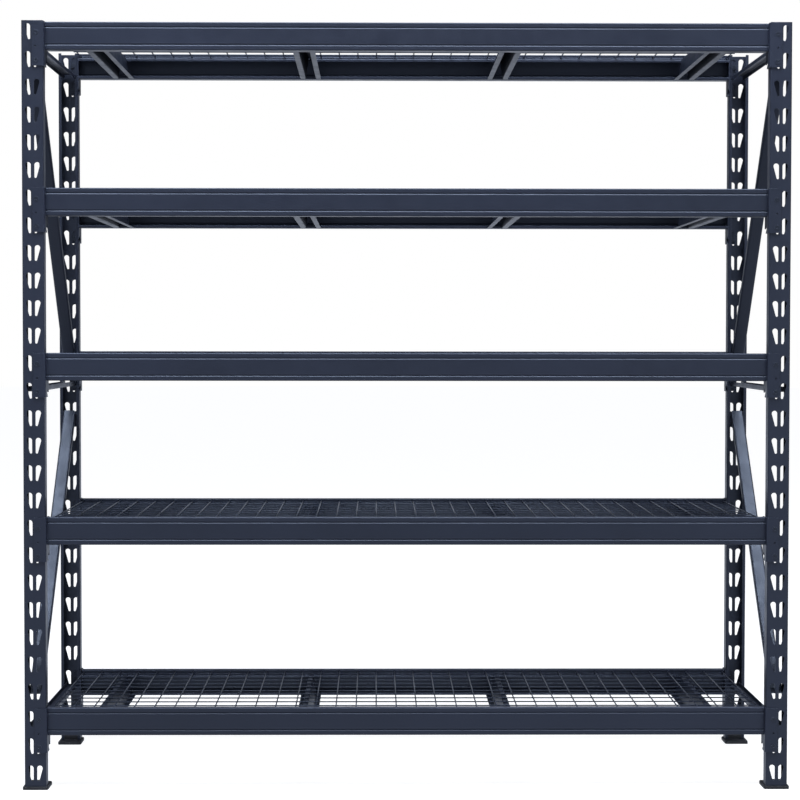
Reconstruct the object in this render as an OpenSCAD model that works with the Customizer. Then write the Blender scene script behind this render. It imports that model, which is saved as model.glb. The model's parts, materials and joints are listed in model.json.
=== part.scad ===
/* [Overall] */
// Width of the unit across the outsides of the posts
unit_w = 1956; // [900:1:2400]
// Depth of the unit across the outsides of the posts
unit_d = 610; // [380:1:900]
// Height of the unit from the floor to the top of the posts
unit_h = 1960; // [1200:1:2600]

/* [Posts] */
// Width of a post's slotted web
post_w = 55; // [46:1:80]
// Depth of a post's flanges
post_d = 35; // [30:1:50]
// Width of the lip along each flange
post_lip = 8.5; // [6:0.5:11]
// Sheet thickness of the posts
post_t = 2; // [1.5:0.1:3]
// Outer bend radius of the posts
post_r = 3.5; // [3:0.5:5]

/* [Keyhole slots] */
// Distance from one slot row to the next
slot_pitch = 70; // [60:1:100]
// Height of a slot
slot_h = 40; // [34:1:46]
// Width of a slot at its round top
slot_top_w = 14; // [13:0.5:16]
// Width of a slot at its round bottom
slot_low_w = 6; // [5:0.5:8]
// Metal left between the two slot columns
slot_gap = 9; // [6:0.5:14]
// Distance from the post's top end to the first slot
slot_start = 8; // [6:1:20]

/* [Beams] */
// Height of a beam
beam_h = 71; // [60:1:90]
// Distance of a beam's face behind the post's face
beam_setback = 11; // [8:1:16]
// Depth of a beam's top flange
beam_top_d = 20; // [16:1:30]
// Depth of the ledge that carries the supports
ledge_d = 15; // [12:1:24]
// Drop from the beam's top down to the ledge
ledge_drop = 13; // [10:1:16]
// Lips that stiffen the ledge and the bottom flange
beam_lip = 8; // [6:1:10]
// Sheet thickness of the beams
beam_t = 1.6; // [1.2:0.1:2.5]
// Outer bend radius of the beams
beam_r = 3; // [2.5:0.5:4]
// Distance of each stiffening groove from the beam's top or bottom
groove_inset = 13.5; // [10:0.5:16]
// Width of a stiffening groove
groove_w = 6; // [5:0.5:8]
// Depth of a stiffening groove
groove_d = 2.2; // [1:0.1:3]

/* [Beam brackets] */
// Height of the bracket welded to each end of a beam
bracket_h = 113; // [104:1:130]
// Sheet thickness of a bracket
bracket_t = 3; // [2.5:0.5:4]
// Cut across the bracket's lower inner corner
bracket_cut = 12; // [6:1:20]
// Drop from the beam's top to the upper rivet
rivet_drop = 29; // [27:1:32]
// Diameter of a rivet's shank
rivet_d = 9.2; // [8:0.1:9.4]
// Diameter of a rivet's heads
rivet_head_d = 13; // [12:0.5:13.5]
// Thickness of the head behind the post's web
rivet_head_t = 2.6; // [2:0.1:3.5]
// Thickness of the flat head on the bracket
rivet_cap_t = 0.8; // [0.5:0.1:1.5]
// Diameter of the hole for a lock pin, midway between the rivets
lock_hole_d = 5; // [4:0.5:7]

/* [Deck supports] */
// Number of supports under each deck
supports_n = 4; // [2:1:6]
// Distance from a beam's end to the middle of the nearest support
support_end = 128; // [80:1:200]
// Width of a support across the flanges at its foot
support_w = 57; // [44:1:70]
// Width of the ridge that carries the deck
support_top_w = 14; // [12:1:24]
// Height of a support
support_h = 59; // [30:1:62]
// Width of each flange along the support's foot
support_lip = 13.5; // [8:0.5:18]
// Sheet thickness of a support
support_t = 1.5; // [1.2:0.1:2.5]

/* [Wire decks] */
// Diameter of the deck wire
wire_d = 3.3; // [2.8:0.1:4.5]
// Target spacing of the wires that run front to back
cross_pitch = 52; // [40:1:80]
// Target spacing of the wires that run along the beams
long_pitch = 53; // [40:1:80]
// Overhang of the wire ends past the outermost wires
wire_over = 3; // [2:0.5:6]

/* [End frames] */
// Width of the side ties and the braces
tie_w = 34; // [28:1:36]
// Height of the side ties and the braces
tie_h = 13; // [12:1:22]
// Sheet thickness of the side ties and the braces
tie_t = 1.6; // [1.2:0.1:2.5]
// Drop from the top of the posts to the top of the upper tie
tie_top_drop = 56; // [40:1:70]
// Height of the middle tie's underside above mid height
tie_mid_rise = 40; // [20:1:80]
// Height of the lower tie's underside above the floor
tie_low_z = 155; // [120:1:190]
// Gap between the ends of the ties and the posts' webs
tie_gap = 8; // [4:1:15]
// Outer bend radius of the ties and braces
tie_r = 4.5; // [3:0.5:5]
// Gap from the lower tie up to the lower brace, at the front post's lips
brace_above_low = 114; // [60:1:160]
// Gap from the lower brace up to the middle tie, at the rear post's lips
brace_below_mid = 67; // [50:1:160]
// Gap from the middle tie up to the upper brace, at the rear post's lips
brace_above_mid = 55; // [50:1:160]
// Gap from the upper brace up to the upper tie, at the front post's lips
brace_below_top = 63; // [40:1:160]
// Distance that a brace's upper end reaches in past the lips
brace_in = 8; // [6:1:12]
// Gap between a brace's lower end and the post's web
brace_gap = 4; // [4:1:8]
// Size of the weld fillets that hold the ties and braces
weld = 4; // [3:0.5:5]

/* [Feet] */
// Thickness of the foot pad under each post
foot_t = 8; // [6:1:14]
// Distance that the pad reaches past the post's outer faces
foot_rim = 5; // [4:0.5:8]
// Depth of the pad, front to back
foot_d = 70; // [60:1:80]
// Height of the plug that fits up into the post
foot_plug = 10; // [6:1:11]

/* [Hidden] */

// Levels that NODES names, the lowest first
levels = 5;
// Clearance between a bracket or rivet and the post that it slides on
hook_gap = 0.3;
// Clearance round a deck, between the beams and between the brackets
deck_gap = 2;
// Clearance between the plug of a foot and the inside of the post
plug_gap = 0.5;
// Straight pieces in the arc of one bend
bend_steps = 4;
// Radius of a brace's end corners
brace_corner = 5;

post_colour = [0.21, 0.23, 0.28];
beam_colour = [0.18, 0.20, 0.25];
wire_colour = [0.26, 0.27, 0.32];
rivet_colour = [0.16, 0.17, 0.21];
foot_colour = [0.10, 0.10, 0.12];

// Half sizes of the unit, measured to the outer faces of the posts
half_w = unit_w / 2;
half_d = unit_d / 2;

// Round ends of a keyhole slot, measured from the top of its outline on the
// middle line of the web
slot_top_r = slot_top_w / 2;
slot_low_r = slot_low_w / 2;
slot_top_mid = [slot_gap / 2 + slot_top_r, -slot_top_r];
slot_low_mid = [slot_gap / 2 + slot_low_r, slot_low_r - slot_h];

// A rivet drops until the slot is only just wide enough for its shank
seat_share = (slot_top_r - rivet_d / 2 - hook_gap) / (slot_top_r - slot_low_r);
rivet_seat = slot_top_mid + seat_share * (slot_low_mid - slot_top_mid);
rivet_x = rivet_seat[0];

// Slot rows that fit on a post, and the rows that carry a level
slot_rows = floor((unit_h - foot_t - slot_start - slot_h) / slot_pitch) + 1;
last_row = slot_rows - 3;
function level_row(n) = last_row - ceil(last_row * (n - 1) / (levels - 1));

// Height of a beam's top, which its rivets set
function beam_top(n) =
    unit_h - slot_start - slot_pitch * level_row(n) + rivet_seat[1] + rivet_drop;

// Where a beam, its ledge and its inner edge stand, from the unit's middle
beam_face = half_d - beam_setback;
ledge_edge = beam_face - beam_top_d;
beam_inner = ledge_edge - ledge_d;

// Outside of the bracket's leg along the post, where the beam ends
bracket_x = half_w - post_w - hook_gap - bracket_t;
bracket_d = beam_setback + beam_top_d + ledge_d;

// Height of the supports' tops above a beam's top, where the deck rests
support_top = support_t - ledge_drop;

// Middle of a post, the inner face of its lips, and the ends of the ties
post_mid = half_w - post_w / 2;
lip_face = half_d - post_d;
tie_end = half_d - post_t - tie_gap;

// Undersides of the three ties
tie_low = tie_low_z;
tie_mid = unit_h / 2 + tie_mid_rise;
tie_top = unit_h - tie_top_drop - tie_h;

// A quarter turn to the left, and a turn by an angle
function left(v) = [-v[1], v[0]];
function turned(v, a) = [v[0] * cos(a) - v[1] * sin(a), v[0] * sin(a) + v[1] * cos(a)];
function unit(v) = v / norm(v);

// Points along a bent sheet, each with the sheet's normal there. A path
// point is [x, y, bend radius of the middle of the sheet].
function flat_end(p, toward) = [[[p[0], p[1]], left(unit(toward))]];
function bend(p, a, b) =
    let (
        angle = atan2(cross(a, b), a * b),
        side = sign(angle),
        reach = p[2] * tan(abs(angle) / 2),
        centre = [p[0], p[1]] - a * reach + left(a) * p[2] * side
    )
    [for (k = [0 : bend_steps])
        let (normal = turned(left(a), angle * k / bend_steps))
        [centre - normal * p[2] * side, normal]];
function xy(p) = [p[0], p[1]];
function sheet_line(path) =
    let (last = len(path) - 1)
    concat(
        flat_end(path[0], xy(path[1]) - xy(path[0])),
        [for (i = [1 : last - 1])
            each bend(path[i],
                unit(xy(path[i]) - xy(path[i - 1])),
                unit(xy(path[i + 1]) - xy(path[i])))],
        flat_end(path[last], xy(path[last]) - xy(path[last - 1]))
    );

// Cross-section of a sheet of thickness t bent along a path
module bent_sheet(path, t) {
    line = sheet_line(path);
    count = len(line);
    polygon(concat(
        [for (p = line) p[0] + p[1] * t / 2],
        [for (i = [count - 1 : -1 : 0]) line[i][0] - line[i][1] * t / 2]
    ));
}

// Points along an arc
function arc(centre, r, from, to, steps) =
    [for (k = [0 : steps])
        let (a = from + (to - from) * k / steps)
        centre + r * [cos(a), sin(a)]];

// Outline of a keyhole slot to the right of the web's middle: the side
// towards the middle is straight and the other side slants in downwards
module slot_outline() {
    run = slot_low_mid - slot_top_mid;
    // Direction, from either centre, of the point where the slant touches
    touch = atan2(run[1], run[0]) + acos((slot_top_r - slot_low_r) / norm(run));
    slant = [cos(touch), sin(touch)];
    translate(slot_top_mid) circle(r = slot_top_r, $fn = 48);
    translate(slot_low_mid) circle(r = slot_low_r, $fn = 48);
    polygon([
        slot_top_mid - [slot_top_r, 0],
        slot_low_mid - [slot_low_r, 0],
        slot_low_mid + slot_low_r * slant,
        slot_top_mid + slot_top_r * slant
    ]);
}

// Four corners of the unit are mirror images of the rear right one
module at_corner(side_x, side_y) {
    mirror([side_x < 0 ? 1 : 0, 0, 0])
        mirror([0, side_y < 0 ? 1 : 0, 0])
            children();
}

// Lipped channel with its slotted web to the outside
module post(side_x, side_y) {
    t = post_t / 2;
    r = post_r - t;
    path = [
        [-post_w / 2 + post_lip, -post_d + t, 0],
        [-post_w / 2 + t, -post_d + t, r],
        [-post_w / 2 + t, -t, r],
        [post_w / 2 - t, -t, r],
        [post_w / 2 - t, -post_d + t, r],
        [post_w / 2 - post_lip, -post_d + t, 0]
    ];
    color(post_colour)
    at_corner(side_x, side_y)
    translate([post_mid, half_d, 0])
    difference() {
        translate([0, 0, foot_t])
            linear_extrude(unit_h - foot_t) bent_sheet(path, post_t);
        translate([0, post_t, unit_h - slot_start])
            rotate([90, 0, 0])
                linear_extrude(post_t * 3)
                    for (row = [0 : slot_rows - 1])
                        translate([0, -row * slot_pitch]) {
                            slot_outline();
                            mirror([1, 0]) slot_outline();
                        }
    }
}

// Rectangle with round corners
module rounded(w, d, r) {
    polygon(concat(
        arc([w / 2 - r, d / 2 - r], r, 0, 90, 6),
        arc([-w / 2 + r, d / 2 - r], r, 90, 180, 6),
        arc([-w / 2 + r, -d / 2 + r], r, 180, 270, 6),
        arc([w / 2 - r, -d / 2 + r], r, 270, 360, 6)
    ));
}

// Moulded pad with a plug that fits up inside the post
module foot(side_x, side_y) {
    w = post_w + 2 * foot_rim;
    edge = 2;
    inside_w = post_w - 2 * post_t - 2 * plug_gap;
    inside_d = post_d - 2 * post_t - 2 * plug_gap;
    color(foot_colour)
    at_corner(side_x, side_y)
    translate([post_mid, half_d, 0]) {
        translate([0, foot_rim - foot_d / 2, 0]) {
            linear_extrude(foot_t - edge) rounded(w, foot_d, 6);
            translate([0, 0, foot_t - edge])
                linear_extrude(edge) rounded(w - edge, foot_d - edge, 5);
        }
        translate([0, -post_d / 2, foot_t])
            linear_extrude(foot_plug) rounded(inside_w, inside_d, 3);
    }
}

// Channel section of the ties and braces, with its web at height 0 and its
// legs standing up from it
module tie_section() {
    t = tie_t / 2;
    r = tie_r - t;
    bent_sheet([
        [-tie_w / 2 + t, tie_h, 0],
        [-tie_w / 2 + t, t, r],
        [tie_w / 2 - t, t, r],
        [tie_w / 2 - t, tie_h, 0]
    ], tie_t);
}

// Fillet weld standing in the corner between a lip and a tie's side
module weld_bead(h) {
    gap = (post_w - 2 * post_lip - tie_w) / 2;
    linear_extrude(h)
        polygon([[0, 0], [gap + weld, 0], [0, weld]]);
}

// The four fillets where a tie or brace passes between the posts' lips
module welds(z_front, z_rear, h) {
    for (side = [0, 1])
        mirror([side, 0, 0]) {
            translate([tie_w / 2, -lip_face, z_front]) weld_bead(h);
            translate([tie_w / 2, lip_face, z_rear])
                mirror([0, 1, 0]) weld_bead(h);
        }
}

// Channel that ties a front post to a rear post, with its underside at
// height z and its web on top or underneath
module side_tie(side_x, z, web_on_top) {
    color(post_colour)
    translate([side_x * post_mid, 0, z]) {
        translate([0, tie_end, web_on_top ? tie_h : 0])
            rotate([90, 0, 0])
                linear_extrude(2 * tie_end)
                    mirror([0, web_on_top ? 1 : 0]) tie_section();
        translate([0, 0, web_on_top ? 0 : tie_r])
            welds(0, 0, tie_h - tie_r);
    }
}

// Sloping channel between a front post and a rear post. Its web faces the
// front and crosses the posts' lips at the two heights. Its ends are cut
// square and rounded at the corners.
module brace(side_x, z_front, z_rear) {
    slope = atan2(z_rear - z_front, 2 * lip_face);
    rising = slope > 0;
    rise = tie_h / cos(slope);
    // The tips of the legs run on past the end of the web
    back = tie_h * sin(abs(slope));
    high_end = lip_face + brace_in;
    low_end = half_d - post_t - brace_gap;
    front_end = rising ? low_end : high_end;
    rear_end = (rising ? high_end : low_end) - back;
    long = (front_end + rear_end) / cos(slope);
    mid = (rear_end - front_end) / 2;
    color(post_colour)
    translate([side_x * post_mid, 0, 0]) {
        translate([0, mid, (z_front + z_rear) / 2 + mid * tan(slope)])
            rotate([slope, 0, 0])
                intersection() {
                    translate([0, long / 2, 0])
                        rotate([90, 0, 0])
                            linear_extrude(long)
                                mirror([0, rising ? 1 : 0]) tie_section();
                    translate([0, 0, -2 * tie_h])
                        linear_extrude(4 * tie_h) rounded(tie_w, long, brace_corner);
                }
        translate([0, 0, rising ? tie_r - rise : tie_r])
            welds(z_front, z_rear, rise - 2 * tie_r);
    }
}

// Section of a beam. The first value runs back from its face and the
// second runs up from its bottom edge.
module beam_section() {
    t = beam_t / 2;
    r = beam_r - t;
    tight = 1.2;
    step = beam_top_d;
    back = beam_top_d + ledge_d;
    ledge = beam_h - ledge_drop;
    low = groove_inset;
    high = beam_h - groove_inset;
    half = groove_w / 2;
    bent_sheet([
        [back - t, beam_lip, 0],
        [back - t, t, r],
        [t, t, r],
        [t, low - half, tight],
        [t + groove_d, low, tight],
        [t, low + half, tight],
        [t, high - half, tight],
        [t + groove_d, high, tight],
        [t, high + half, tight],
        [t, beam_h - t, r],
        [step - t, beam_h - t, r],
        [step - t, ledge - t, r],
        [back - t, ledge - t, r],
        [back - t, ledge - beam_lip, 0]
    ], beam_t);
}

// Stepped beam along the front or the rear of a level
module beam(side_y, n) {
    color(beam_colour)
    translate([0, 0, beam_top(n) - beam_h])
        mirror([0, side_y > 0 ? 1 : 0, 0])
            translate([-bracket_x, -beam_face, 0])
                rotate([90, 0, 90])
                    linear_extrude(2 * bracket_x) beam_section();
}

// Angle bracket for the rear right corner, with its top at height 0
module bracket() {
    t = bracket_t / 2;
    r = 3;
    front = half_d + hook_gap;
    side = half_w - post_w - hook_gap;
    path = [
        [post_mid, front + t, 0],
        [side - t, front + t, r],
        [side - t, half_d - bracket_d, 0]
    ];
    difference() {
        translate([0, 0, -bracket_h])
            linear_extrude(bracket_h) bent_sheet(path, bracket_t);
        // Lower corner of the leg
        translate([side - bracket_t * 2, half_d - bracket_d, -bracket_h])
            rotate([45, 0, 0])
                translate([0, -bracket_cut * 2, -bracket_cut / sqrt(2)])
                    cube([bracket_t * 3, bracket_cut * 4, bracket_cut * sqrt(2)]);
        // Rivet holes and the lock pin's hole
        for (k = [0, 1])
            translate([post_mid - rivet_x, half_d, -rivet_drop - k * slot_pitch])
                rotate([-90, 0, 0])
                    cylinder(h = bracket_t * 3, d = rivet_d, $fn = 32);
        translate([post_mid - rivet_x, half_d, -rivet_drop - slot_pitch / 2])
            rotate([-90, 0, 0])
                cylinder(h = bracket_t * 3, d = lock_hole_d, $fn = 32);
    }
}

// Rivet that holds a bracket on the post, at the origin with its axis on Y
module rivet() {
    neck = hook_gap * 2 + post_t + bracket_t;
    recess_d = rivet_d * 0.55;
    recess_t = 1.2;
    translate([0, hook_gap + bracket_t, 0])
        rotate([90, 0, 0])
            difference() {
                union() {
                    translate([0, 0, -rivet_cap_t])
                        cylinder(h = rivet_cap_t, d = rivet_head_d, $fn = 32);
                    cylinder(h = neck, d = rivet_d, $fn = 32);
                    translate([0, 0, neck])
                        cylinder(h = rivet_head_t, d = rivet_head_d, $fn = 32);
                }
                translate([0, 0, -rivet_cap_t * 2])
                    cylinder(h = rivet_cap_t + recess_t, d = recess_d, $fn = 32);
            }
}

// The four brackets of a level
module brackets(n) {
    color(beam_colour)
    for (side_x = [-1, 1], side_y = [-1, 1])
        at_corner(side_x, side_y)
            translate([0, 0, beam_top(n)]) bracket();
}

// The eight rivets of a level
module rivets(n) {
    color(rivet_colour)
    for (side_x = [-1, 1], side_y = [-1, 1], k = [0, 1])
        at_corner(side_x, side_y)
            translate([
                post_mid - rivet_x,
                half_d,
                beam_top(n) - rivet_drop - k * slot_pitch
            ])
                rivet();
}

// Hat-shaped bar, open underneath, whose ridge runs out over both ledges
module support() {
    t = support_t / 2;
    r = 2.5;
    foot_x = support_w / 2 - support_lip;
    ridge_x = support_top_w / 2 - t;
    tab_x = support_top_w / 2 - r - t;
    inner = beam_inner - 1;
    reach = ledge_edge - deck_gap;
    rotate([90, 0, 0]) {
        translate([0, 0, -inner])
            linear_extrude(2 * inner)
                bent_sheet([
                    [-support_w / 2, -support_h + t, 0],
                    [-foot_x, -support_h + t, r],
                    [-ridge_x, -t, r],
                    [ridge_x, -t, r],
                    [foot_x, -support_h + t, r],
                    [support_w / 2, -support_h + t, 0]
                ], support_t);
        translate([-tab_x, -support_t, -reach])
            linear_extrude(2 * reach)
                square([2 * tab_x, support_t]);
    }
}

// The supports of a level, evenly spread along the beams
module supports(n) {
    outer_x = bracket_x - support_end;
    color(beam_colour)
    for (k = [0 : supports_n - 1])
        translate([
            outer_x * (2 * k / (supports_n - 1) - 1),
            0,
            beam_top(n) + support_top
        ])
            support();
}

// Welded grid. Wires along the beams lie on the supports, and wires from
// front to back lie across them.
module wire_deck(n) {
    // Eight-sided wire, turned so that it lies on a flat
    tip_d = wire_d / cos(22.5);
    reach_x = bracket_x - deck_gap;
    reach_y = ledge_edge - deck_gap;
    end_x = reach_x - wire_over - wire_d / 2;
    end_y = reach_y - wire_over - wire_d / 2;
    cross_n = round(2 * end_x / cross_pitch);
    long_n = round(2 * end_y / long_pitch);
    color(wire_colour)
    translate([0, 0, beam_top(n) + support_top + wire_d / 2]) {
        for (k = [0 : long_n])
            translate([-reach_x, -end_y + 2 * end_y * k / long_n, 0])
                rotate([0, 90, 0])
                    rotate([0, 0, 22.5])
                        cylinder(h = 2 * reach_x, d = tip_d, $fn = 8);
        for (k = [0 : cross_n])
            translate([-end_x + 2 * end_x * k / cross_n, reach_y, wire_d])
                rotate([90, 0, 0])
                    rotate([0, 0, 22.5])
                        cylinder(h = 2 * reach_y, d = tip_d, $fn = 8);
    }
}

// Lower brace, which rises to the rear, and upper brace, which falls to it
module low_brace(side_x) {
    brace(side_x, tie_low + tie_h + brace_above_low, tie_mid - brace_below_mid);
}
module high_brace(side_x) {
    brace(side_x, tie_top - brace_below_top, tie_mid + tie_h + brace_above_mid);
}

post(-1, -1);  // post_front_left
post(1, -1);  // post_front_right
post(-1, 1);  // post_rear_left
post(1, 1);  // post_rear_right
foot(-1, -1);  // foot_front_left
foot(1, -1);  // foot_front_right
foot(-1, 1);  // foot_rear_left
foot(1, 1);  // foot_rear_right
side_tie(-1, tie_low, false);  // tie_left_low
side_tie(-1, tie_mid, false);  // tie_left_mid
side_tie(-1, tie_top, true);  // tie_left_top
side_tie(1, tie_low, false);  // tie_right_low
side_tie(1, tie_mid, false);  // tie_right_mid
side_tie(1, tie_top, true);  // tie_right_top
low_brace(-1);  // brace_left_low
high_brace(-1);  // brace_left_high
low_brace(1);  // brace_right_low
high_brace(1);  // brace_right_high
beam(-1, 1);  // beam_front_1
beam(-1, 2);  // beam_front_2
beam(-1, 3);  // beam_front_3
beam(-1, 4);  // beam_front_4
beam(-1, 5);  // beam_front_5
beam(1, 1);  // beam_rear_1
beam(1, 2);  // beam_rear_2
beam(1, 3);  // beam_rear_3
beam(1, 4);  // beam_rear_4
beam(1, 5);  // beam_rear_5
brackets(1);  // brackets_1
brackets(2);  // brackets_2
brackets(3);  // brackets_3
brackets(4);  // brackets_4
brackets(5);  // brackets_5
rivets(1);  // rivets_1
rivets(2);  // rivets_2
rivets(3);  // rivets_3
rivets(4);  // rivets_4
rivets(5);  // rivets_5
supports(1);  // supports_1
supports(2);  // supports_2
supports(3);  // supports_3
supports(4);  // supports_4
supports(5);  // supports_5
wire_deck(1);  // wire_deck_1
wire_deck(2);  // wire_deck_2
wire_deck(3);  // wire_deck_3
wire_deck(4);  // wire_deck_4
wire_deck(5);  // wire_deck_5
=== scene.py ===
import json
import math

import bmesh
import bpy
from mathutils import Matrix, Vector


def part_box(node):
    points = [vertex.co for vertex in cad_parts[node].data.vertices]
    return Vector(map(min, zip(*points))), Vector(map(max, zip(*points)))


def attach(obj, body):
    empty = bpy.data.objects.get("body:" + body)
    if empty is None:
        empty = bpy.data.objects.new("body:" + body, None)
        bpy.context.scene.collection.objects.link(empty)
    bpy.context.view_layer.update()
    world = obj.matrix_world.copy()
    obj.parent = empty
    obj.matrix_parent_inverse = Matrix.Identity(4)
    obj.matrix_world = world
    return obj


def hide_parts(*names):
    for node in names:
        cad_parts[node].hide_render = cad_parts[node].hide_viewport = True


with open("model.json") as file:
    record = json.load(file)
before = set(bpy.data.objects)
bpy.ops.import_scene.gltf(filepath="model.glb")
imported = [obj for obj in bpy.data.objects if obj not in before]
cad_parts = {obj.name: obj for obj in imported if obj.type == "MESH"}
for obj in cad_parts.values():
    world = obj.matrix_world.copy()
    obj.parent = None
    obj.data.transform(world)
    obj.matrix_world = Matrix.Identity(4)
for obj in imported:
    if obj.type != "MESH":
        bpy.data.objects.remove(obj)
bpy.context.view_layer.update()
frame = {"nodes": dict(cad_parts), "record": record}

MM = 0.001
LEVELS = range(1, 6)

# Wires of the decks, as the CAD model spaces them
WIRE_D = 3.3 * MM
WIRE_OVER = 3 * MM
CROSS_PITCH = 52 * MM
LONG_PITCH = 53 * MM
# The upper wires sink into the lower ones by this much at each weld
WELD_SINK = 0.35 * MM
# A cut end is rounded over this many radii of the wire. Each step is a share
# of that length and a share of the radius.
WIRE_END_LENGTH = 0.45
WIRE_END = [(0.0, 0.62), (0.3, 0.86), (1.0, 1.0)]
# Weld nugget, whose steps are shares of its height and its radius
NUGGET_HEIGHT = 1.5 * MM
NUGGET_RADIUS = 1.35 * MM
NUGGET = [(0.0, 0.5), (0.35, 0.92), (0.65, 0.92), (1.0, 0.5)]

# Camera, found from the directions and lengths of the unit's edges
CAMERA_PLACE = (-0.0802, -5.2256, 1.1608)
CAMERA_TURN = (math.radians(88.2253), math.radians(-0.0549), math.radians(-0.5613))
CAMERA_LENS = 86.903
CAMERA_SHIFT = (0.00674, -0.00456)
CAMERA_SENSOR = 36.0
CAMERA_REACH = 200.0

# Radius of the floor
FLOOR_RADIUS = 40.0

# Colours of the painted steel and the plastic, of the painted highlight on the steel's edges, and
# of the plastic's scuffed edges
POST_PAINT = (0.0140, 0.0165, 0.0275)
BEAM_PAINT = (0.0130, 0.0155, 0.0265)
SUPPORT_PAINT = (0.0085, 0.0110, 0.0200)
WIRE_PAINT = (0.020, 0.025, 0.040)
RIVET_PAINT = (0.011, 0.013, 0.020)
EDGE_HIGHLIGHT_PAINT = (0.12, 0.14, 0.19)
FOOT_PLASTIC = (0.012, 0.012, 0.014)
SCUFFED_PLASTIC = (0.09, 0.09, 0.10)

# Widths over which steel edges get a painted highlight and plastic edges look scuffed, and over
# which they look rounded
EDGE_HIGHLIGHT_WIDTH = 1.1 * MM
SCUFFED_EDGE = 0.9 * MM
SOFT_PAINT_EDGE = 0.6 * MM
SOFT_PLASTIC_EDGE = 0.8 * MM

# Samples of each bevel node
BEVEL_SAMPLES = 4

# Tints of the gloss, of the softboxes and of the room
GLOSS_TINT = (0.78, 0.86, 1.0)
SOFTBOX_TINT = (0.78, 0.86, 1.0)
ROOM_TINT = (0.78, 0.85, 1.0)
WHITE = (1.0, 1.0, 1.0)

# Brightness of the room by direction. The first two values are a range of the
# direction's rise, or of its run to the rear, and the last two the brightness.
ROOM_ABOVE = (0.25, 0.9, 0.01, 0.50)
ROOM_BELOW = (0.02, -0.06, 0.0, 0.70)
ROOM_FRONT = (-0.2, -0.9, 0.0, 0.27)
ROOM_BEHIND = (0.955, 0.985, 0.0, 0.80)


# ---------------------------------------------------------------- node helpers

class Nodes:
    """A node tree that is written one short line at a time."""

    def __init__(self, tree):
        self.tree = tree
        tree.nodes.clear()

    def add(self, kind, settings=None, **inputs):
        """Adds a node. An input is a value or another node's output."""
        node = self.tree.nodes.new(kind)
        for name, value in (settings or {}).items():
            setattr(node, name, value)
        for name, value in inputs.items():
            socket = self.socket(node, name)
            if isinstance(value, bpy.types.NodeSocket):
                self.tree.links.new(value, socket)
            else:
                socket.default_value = value
        return node

    def socket(self, node, name):
        """Finds an input by its name, with _ for a space, or by its number."""
        if name.startswith("in") and name[2:].isdigit():
            return node.inputs[int(name[2:])]
        return node.inputs[name.replace("_", " ")]

    def math(self, operation, a, b=0.0, clamp=False):
        settings = {"operation": operation, "use_clamp": clamp}
        return self.add("ShaderNodeMath", settings, in0=a, in1=b).outputs[0]

    def noise(self, coords, scale, detail=2.0, roughness=0.5):
        node = self.add(
            "ShaderNodeTexNoise", Vector=coords, Scale=scale, Detail=detail, Roughness=roughness
        )
        return node.outputs["Fac"]

    def remap(self, value, low, high, to_low=0.0, to_high=1.0):
        node = self.add(
            "ShaderNodeMapRange", Value=value, From_Min=low, From_Max=high,
            To_Min=to_low, To_Max=to_high,
        )
        return node.outputs["Result"]

    def mix(self, factor, a, b):
        """Mixes two colours."""
        node = self.add("ShaderNodeMix", {"data_type": "RGBA"}, in0=factor, in6=a, in7=b)
        return node.outputs[2]

    def soft_edge(self, radius):
        """A normal that rounds the edges over."""
        return self.add("ShaderNodeBevel", {"samples": BEVEL_SAMPLES}, Radius=radius).outputs[0]

    def output(self, kind, shader):
        """Ends the tree in a material's or a world's output."""
        end = self.add(kind)
        self.tree.links.new(shader.outputs[0], end.inputs["Surface"])


def colour(red, green, blue):
    return (red, green, blue, 1.0)


def new_material(name):
    material = bpy.data.materials.new(name)
    material.use_nodes = True
    return material, Nodes(material.node_tree)


def edge_mask(nodes, radius):
    """Is 0 on flat faces and rises towards 1 within radius of a sharp edge."""
    bevel = nodes.soft_edge(radius)
    flat = nodes.add("ShaderNodeNewGeometry").outputs["Normal"]
    facing = nodes.add(
        "ShaderNodeVectorMath", {"operation": "DOT_PRODUCT"}, in0=bevel, in1=flat
    ).outputs["Value"]
    return nodes.remap(facing, 0.995, 0.80)


# ------------------------------------------------------------------- materials

def powder_coat(name, base, roughness, edge_highlight_share=0.5):
    """Baked powder paint on sheet steel: orange peel, soft mottling, and a painted highlight along
    the edges.
    """
    material, n = new_material(name)
    place = n.add("ShaderNodeTexCoord").outputs["Object"]
    broad = n.noise(place, 2.2, 3.0)
    patchy = n.noise(place, 28.0, 4.0, 0.6)
    grit = n.noise(place, 420.0, 3.0, 0.65)
    pores = n.noise(place, 900.0, 1.0)

    darker = tuple(0.82 * c for c in base)
    lighter = tuple(1.18 * c for c in base)
    paint = n.mix(n.remap(broad, 0.3, 0.7), colour(*darker), colour(*lighter))
    paint = n.mix(n.remap(patchy, 0.42, 0.72, 0.0, 0.35), paint, colour(*lighter))

    # Painted highlight along the edges, broken up by the grit
    edge = edge_mask(n, EDGE_HIGHLIGHT_WIDTH)
    edge_highlight = n.math("MULTIPLY", edge, n.remap(grit, 0.35, 0.65))
    edge_highlight = n.math("MULTIPLY", edge_highlight, edge_highlight_share, clamp=True)
    # The edges are painted a lighter blue-grey, as a highlight
    paint = n.mix(edge_highlight, paint, colour(*EDGE_HIGHLIGHT_PAINT))

    rough = n.math("ADD", roughness, n.remap(patchy, 0.3, 0.7, -0.05, 0.06))
    rough = n.math("ADD", rough, n.math("MULTIPLY", edge_highlight, -0.08), clamp=True)

    height = n.math("ADD", n.math("MULTIPLY", grit, 0.7), n.math("MULTIPLY", pores, 0.3))
    bump = n.add(
        "ShaderNodeBump", Strength=0.10, Distance=0.25 * MM, Height=height,
        Normal=n.soft_edge(SOFT_PAINT_EDGE),
    ).outputs[0]

    shader = n.add(
        "ShaderNodeBsdfPrincipled", Base_Color=paint, Roughness=rough, Normal=bump,
        IOR=1.5, Specular_IOR_Level=0.5, Specular_Tint=colour(*GLOSS_TINT),
    )
    n.output("ShaderNodeOutputMaterial", shader)
    return material


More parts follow.
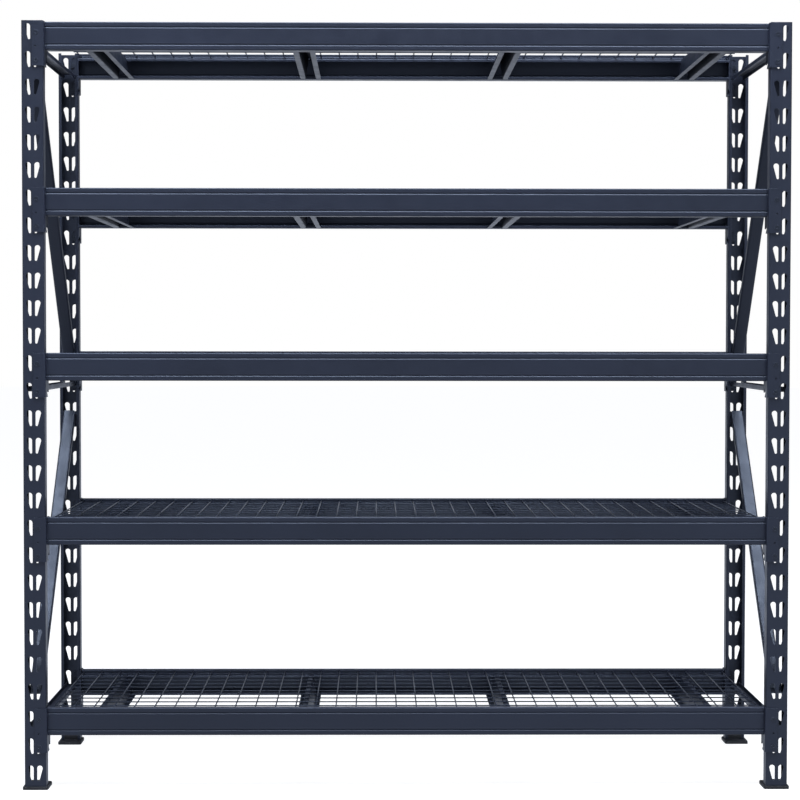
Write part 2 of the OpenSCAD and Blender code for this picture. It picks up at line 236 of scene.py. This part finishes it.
def moulded_plastic(name, base):
    """Black moulded plastic with a fine spark-eroded grain and scuffed edges."""
    material, n = new_material(name)
    place = n.add("ShaderNodeTexCoord").outputs["Object"]
    grain = n.noise(place, 1300.0, 2.0, 0.7)
    scuffs = n.noise(place, 60.0, 5.0, 0.7)
    edge = edge_mask(n, SCUFFED_EDGE)
    scuffed = n.math("MULTIPLY", edge, n.remap(scuffs, 0.4, 0.6), clamp=True)
    tint = n.mix(n.remap(scuffs, 0.35, 0.75), colour(*base), colour(*(1.6 * c for c in base)))
    tint = n.mix(n.math("MULTIPLY", scuffed, 0.5), tint, colour(*SCUFFED_PLASTIC))
    rough = n.remap(grain, 0.3, 0.7, 0.48, 0.66)
    bump = n.add(
        "ShaderNodeBump", Strength=0.25, Distance=0.15 * MM, Height=grain,
        Normal=n.soft_edge(SOFT_PLASTIC_EDGE),
    ).outputs[0]
    shader = n.add(
        "ShaderNodeBsdfPrincipled", Base_Color=tint, Roughness=rough, Normal=bump, IOR=1.46
    )
    n.output("ShaderNodeOutputMaterial", shader)
    return material


MATERIALS = {
    "post_steel": powder_coat("post_paint", POST_PAINT, 0.40),
    "beam_steel": powder_coat("beam_paint", BEAM_PAINT, 0.42),
    "support_steel": powder_coat("support_paint", SUPPORT_PAINT, 0.44),
    "deck_wire": powder_coat("wire_paint", WIRE_PAINT, 0.30, edge_highlight_share=0.2),
    "rivet_steel": powder_coat("rivet_paint", RIVET_PAINT, 0.34, edge_highlight_share=0.8),
    "foot_plastic": moulded_plastic("foot_plastic", FOOT_PLASTIC),
}


def give_material(piece, name):
    piece.data.materials.clear()
    piece.data.materials.append(MATERIALS[name])


for part in frame["record"]["subparts"]:
    give_material(frame["nodes"][part["node"]], part["material_slot"])


# ---------------------------------------------------------------- mesh helpers

def new_piece(name, mesh, body, slot_name):
    """Makes an object from a bmesh, which rides on a body in one finish."""
    data = bpy.data.meshes.new(name)
    mesh.normal_update()
    mesh.to_mesh(data)
    mesh.free()
    piece = bpy.data.objects.new(name, data)
    bpy.context.scene.collection.objects.link(piece)
    give_material(piece, slot_name)
    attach(piece, body)
    return piece


def add_tube(mesh, profile, start, direction, across, sides=14):
    """Sweeps rings of (distance along, radius) round a straight line."""
    other = direction.cross(across)
    rings = []
    for along, radius in profile:
        ring = []
        for k in range(sides):
            angle = math.tau * k / sides
            offset = across * math.cos(angle) + other * math.sin(angle)
            ring.append(mesh.verts.new(start + direction * along + offset * radius))
        rings.append(ring)
    for low, high in zip(rings, rings[1:]):
        for k in range(sides):
            face = mesh.faces.new((low[k - 1], low[k], high[k], high[k - 1]))
            face.smooth = True
    mesh.faces.new(list(reversed(rings[0])))
    mesh.faces.new(rings[-1])


def wire_profile(length, radius):
    """A sheared wire: straight, with its cut ends rounded over by the paint."""
    end = WIRE_END_LENGTH * radius
    near = [(end * along, radius * size) for along, size in WIRE_END]
    far = [(length - along, size) for along, size in reversed(near)]
    return near + far


def spread(low, high, pitch):
    """Even places from low to high, about a pitch apart."""
    count = round((high - low) / pitch)
    return [low + (high - low) * k / count for k in range(count + 1)]


# ------------------------------------------------------------------ wire decks

def wire_deck(level):
    """Round wires with a weld nugget wherever two of them cross."""
    node = f"wire_deck_{level}"
    low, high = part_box(node)
    radius = WIRE_D / 2
    inset = WIRE_OVER + radius
    xs = spread(low.x + inset, high.x - inset, CROSS_PITCH)
    ys = spread(low.y + inset, high.y - inset, LONG_PITCH)
    lower_z = low.z + radius
    upper_z = lower_z + WIRE_D - WELD_SINK
    right, back, up = Vector((1, 0, 0)), Vector((0, 1, 0)), Vector((0, 0, 1))

    mesh = bmesh.new()
    for y in ys:
        add_tube(mesh, wire_profile(high.x - low.x, radius), Vector((low.x, y, lower_z)), right, up)
    for x in xs:
        add_tube(mesh, wire_profile(high.y - low.y, radius), Vector((x, low.y, upper_z)), back, up)
    nugget = [(NUGGET_HEIGHT * along, NUGGET_RADIUS * size) for along, size in NUGGET]
    nugget_z = (lower_z + upper_z - NUGGET_HEIGHT) / 2
    for x in xs:
        for y in ys:
            start = Vector((x, y, nugget_z))
            add_tube(mesh, nugget, start, up, (right + back).normalized(), sides=8)
    piece = new_piece(f"deck_grid_{level}", mesh, f"deck_{level}", "deck_wire")
    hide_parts(node)


for level in LEVELS:
    wire_deck(level)


# ------------------------------------------------------------ camera and stage

def make_camera():
    data = bpy.data.cameras.new("camera")
    data.lens = CAMERA_LENS
    data.sensor_width = CAMERA_SENSOR
    data.shift_x, data.shift_y = CAMERA_SHIFT
    data.clip_end = CAMERA_REACH
    camera = bpy.data.objects.new("camera", data)
    camera.location = CAMERA_PLACE
    camera.rotation_euler = CAMERA_TURN
    bpy.context.scene.collection.objects.link(camera)
    bpy.context.scene.camera = camera


def make_floor():
    mesh = bmesh.new()
    bmesh.ops.create_circle(mesh, cap_ends=True, segments=96, radius=FLOOR_RADIUS)
    data = bpy.data.meshes.new("floor")
    mesh.to_mesh(data)
    mesh.free()
    floor = bpy.data.objects.new("floor", data)
    bpy.context.scene.collection.objects.link(floor)
    material, n = new_material("floor_paper")
    place = n.add("ShaderNodeTexCoord").outputs["Object"]
    tone = n.mix(n.noise(place, 3.0), colour(0.27, 0.27, 0.27), colour(0.29, 0.29, 0.29))
    shader = n.add(
        "ShaderNodeBsdfPrincipled", Base_Color=tone, Roughness=0.9, Specular_IOR_Level=0.0,
        Emission_Color=colour(*WHITE), Emission_Strength=0.90,
    )
    n.output("ShaderNodeOutputMaterial", shader)
    data.materials.append(material)
    # The room's pale ground lights the shelves from below, not the floor
    floor.visible_diffuse = False
    floor.visible_glossy = False


def softbox(name, place, target, width, height, radiance):
    """A rectangular soft light of a given radiance, turned to its target."""
    data = bpy.data.lights.new(name, "AREA")
    data.shape = "RECTANGLE"
    data.size, data.size_y = width, height
    data.energy = radiance * math.pi * width * height
    data.color = SOFTBOX_TINT
    light = bpy.data.objects.new(name, data)
    light.location = place
    aim = Vector(target) - Vector(place)
    light.rotation_euler = aim.to_track_quat("-Z", "Y").to_euler()
    light.visible_camera = False
    bpy.context.scene.collection.objects.link(light)


def make_world():
    """Dim room over a pale ground, and plain white behind the shelves in the picture."""
    world = bpy.data.worlds.new("studio")
    bpy.context.scene.world = world
    world.use_nodes = True
    n = Nodes(world.node_tree)
    ray = n.add("ShaderNodeTexCoord").outputs["Generated"]
    parts = n.add("ShaderNodeSeparateXYZ", Vector=ray)
    rise, run = parts.outputs["Z"], parts.outputs["Y"]
    above = n.remap(rise, *ROOM_ABOVE)
    below = n.remap(rise, *ROOM_BELOW)
    front = n.remap(run, *ROOM_FRONT)
    behind = n.remap(run, *ROOM_BEHIND)
    level = n.math("ADD", n.math("ADD", above, below), n.math("ADD", front, behind))
    seen = n.add("ShaderNodeLightPath").outputs["Is Camera Ray"]
    room = n.add("ShaderNodeBackground", Color=colour(*ROOM_TINT), Strength=level)
    backdrop = n.add("ShaderNodeBackground", Color=colour(*WHITE), Strength=1.0)
    both = n.add("ShaderNodeMixShader", in0=seen, in1=room.outputs[0], in2=backdrop.outputs[0])
    n.output("ShaderNodeOutputWorld", both)


make_camera()
make_floor()
make_world()
softbox(
    "overhead", place=(0.0, -1.2, 4.6), target=(0.0, -0.2, 0.6),
    width=5.0, height=1.7, radiance=16.0,
)
softbox(
    "front_left", place=(-3.2, -4.2, 3.2), target=(-0.6, 0.0, 1.4),
    width=2.0, height=2.2, radiance=1.2,
)
softbox(
    "front_right", place=(3.4, -4.6, 1.6), target=(0.6, 0.0, 0.8),
    width=1.6, height=2.4, radiance=1.2,
)
bpy.context.scene.view_settings.view_transform = "Standard"
